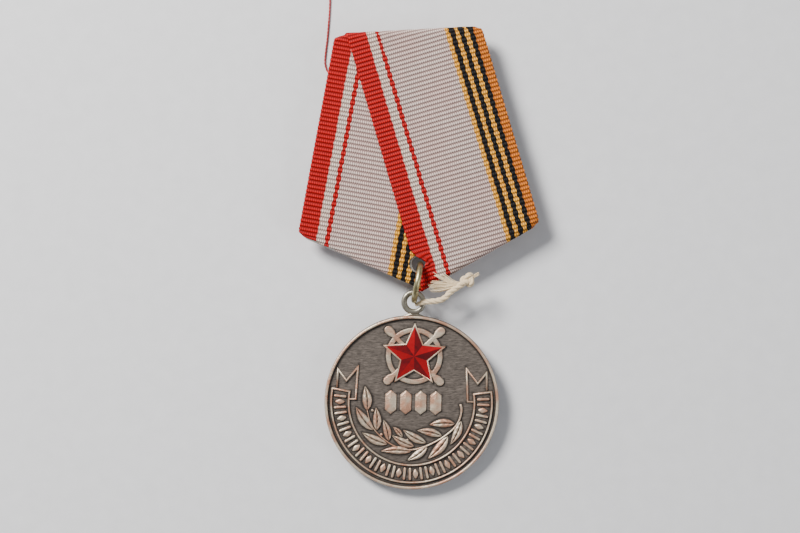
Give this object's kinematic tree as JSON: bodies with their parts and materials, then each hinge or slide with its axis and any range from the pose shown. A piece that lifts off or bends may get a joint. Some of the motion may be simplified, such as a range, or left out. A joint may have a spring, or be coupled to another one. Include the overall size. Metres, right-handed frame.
{
  "type": "military service medal",
  "caption": "Round struck medal with an enamelled star, hung by an eyelet and jump ring from a pentagonal pin block dressed in folded striped ribbon.",
  "frame": {"origin": "centre of the object's box on the surface that it lies on, without its loose threads", "axes": "+Z out of the front face, +Y from the medal to the top of the ribbon block, +X to the right as seen from the front"},
  "size_m": [0.0438, 0.1036, 0.0079],
  "materials": {
    "block_metal": "satin, lightly scuffed",
    "pin_steel": "plated steel, slightly dulled",
    "struck_metal": "silvered and oxidised, dark in the hollows and bright on the relief",
    "ring_metal": "plated brass wire, worn",
    "enamel_red": "ruby enamel, glossy over facets",
    "ribbon_moire": "ribbed silk with red, silver grey, orange and black stripes",
    "thread_red": "spun sewing thread",
    "thread_linen": "unbleached twisted yarn, frayed"
  },
  "bodies": {
    "block": {"block_plate": "block_metal", "ribbon_left_panel": "ribbon_moire", "ribbon_right_panel": "ribbon_moire", "upper_seam": "thread_red", "lower_left_seam": "thread_red", "lower_right_seam": "thread_red", "pin_bar": "pin_steel", "bar_rivet_left": "block_metal", "bar_rivet_right": "block_metal", "hinge_rivet": "pin_steel", "loose_red_thread": "thread_red"},
    "needle": {"needle": "pin_steel"},
    "ring": {"jump_ring": "ring_metal", "tie_thread": "thread_linen"},
    "medal": {"eyelet": "pin_steel", "medal_disc": "struck_metal", "star_enamel": "enamel_red"}
  },
  "joints": [
    {"name": "ring_swivel", "type": "hinge", "parent": "block", "child": "ring", "pos_m": [-0.00004, -0.00101, 0.004], "axis": [0, 0, 1], "range_deg": [-32, 48]},
    {"name": "medal_swing", "type": "hinge", "parent": "ring", "child": "medal", "pos_m": [-0.0008, -0.00432, 0.004], "axis": [-0.9748, 0.2233, 0], "range_deg": [-95, 100]},
    {"name": "needle_hinge", "type": "hinge", "parent": "block", "child": "needle", "pos_m": [-0.01124, 0.02499, 0.00135], "axis": [0, 1, 0], "range_deg": [0, 100]}
  ]
}
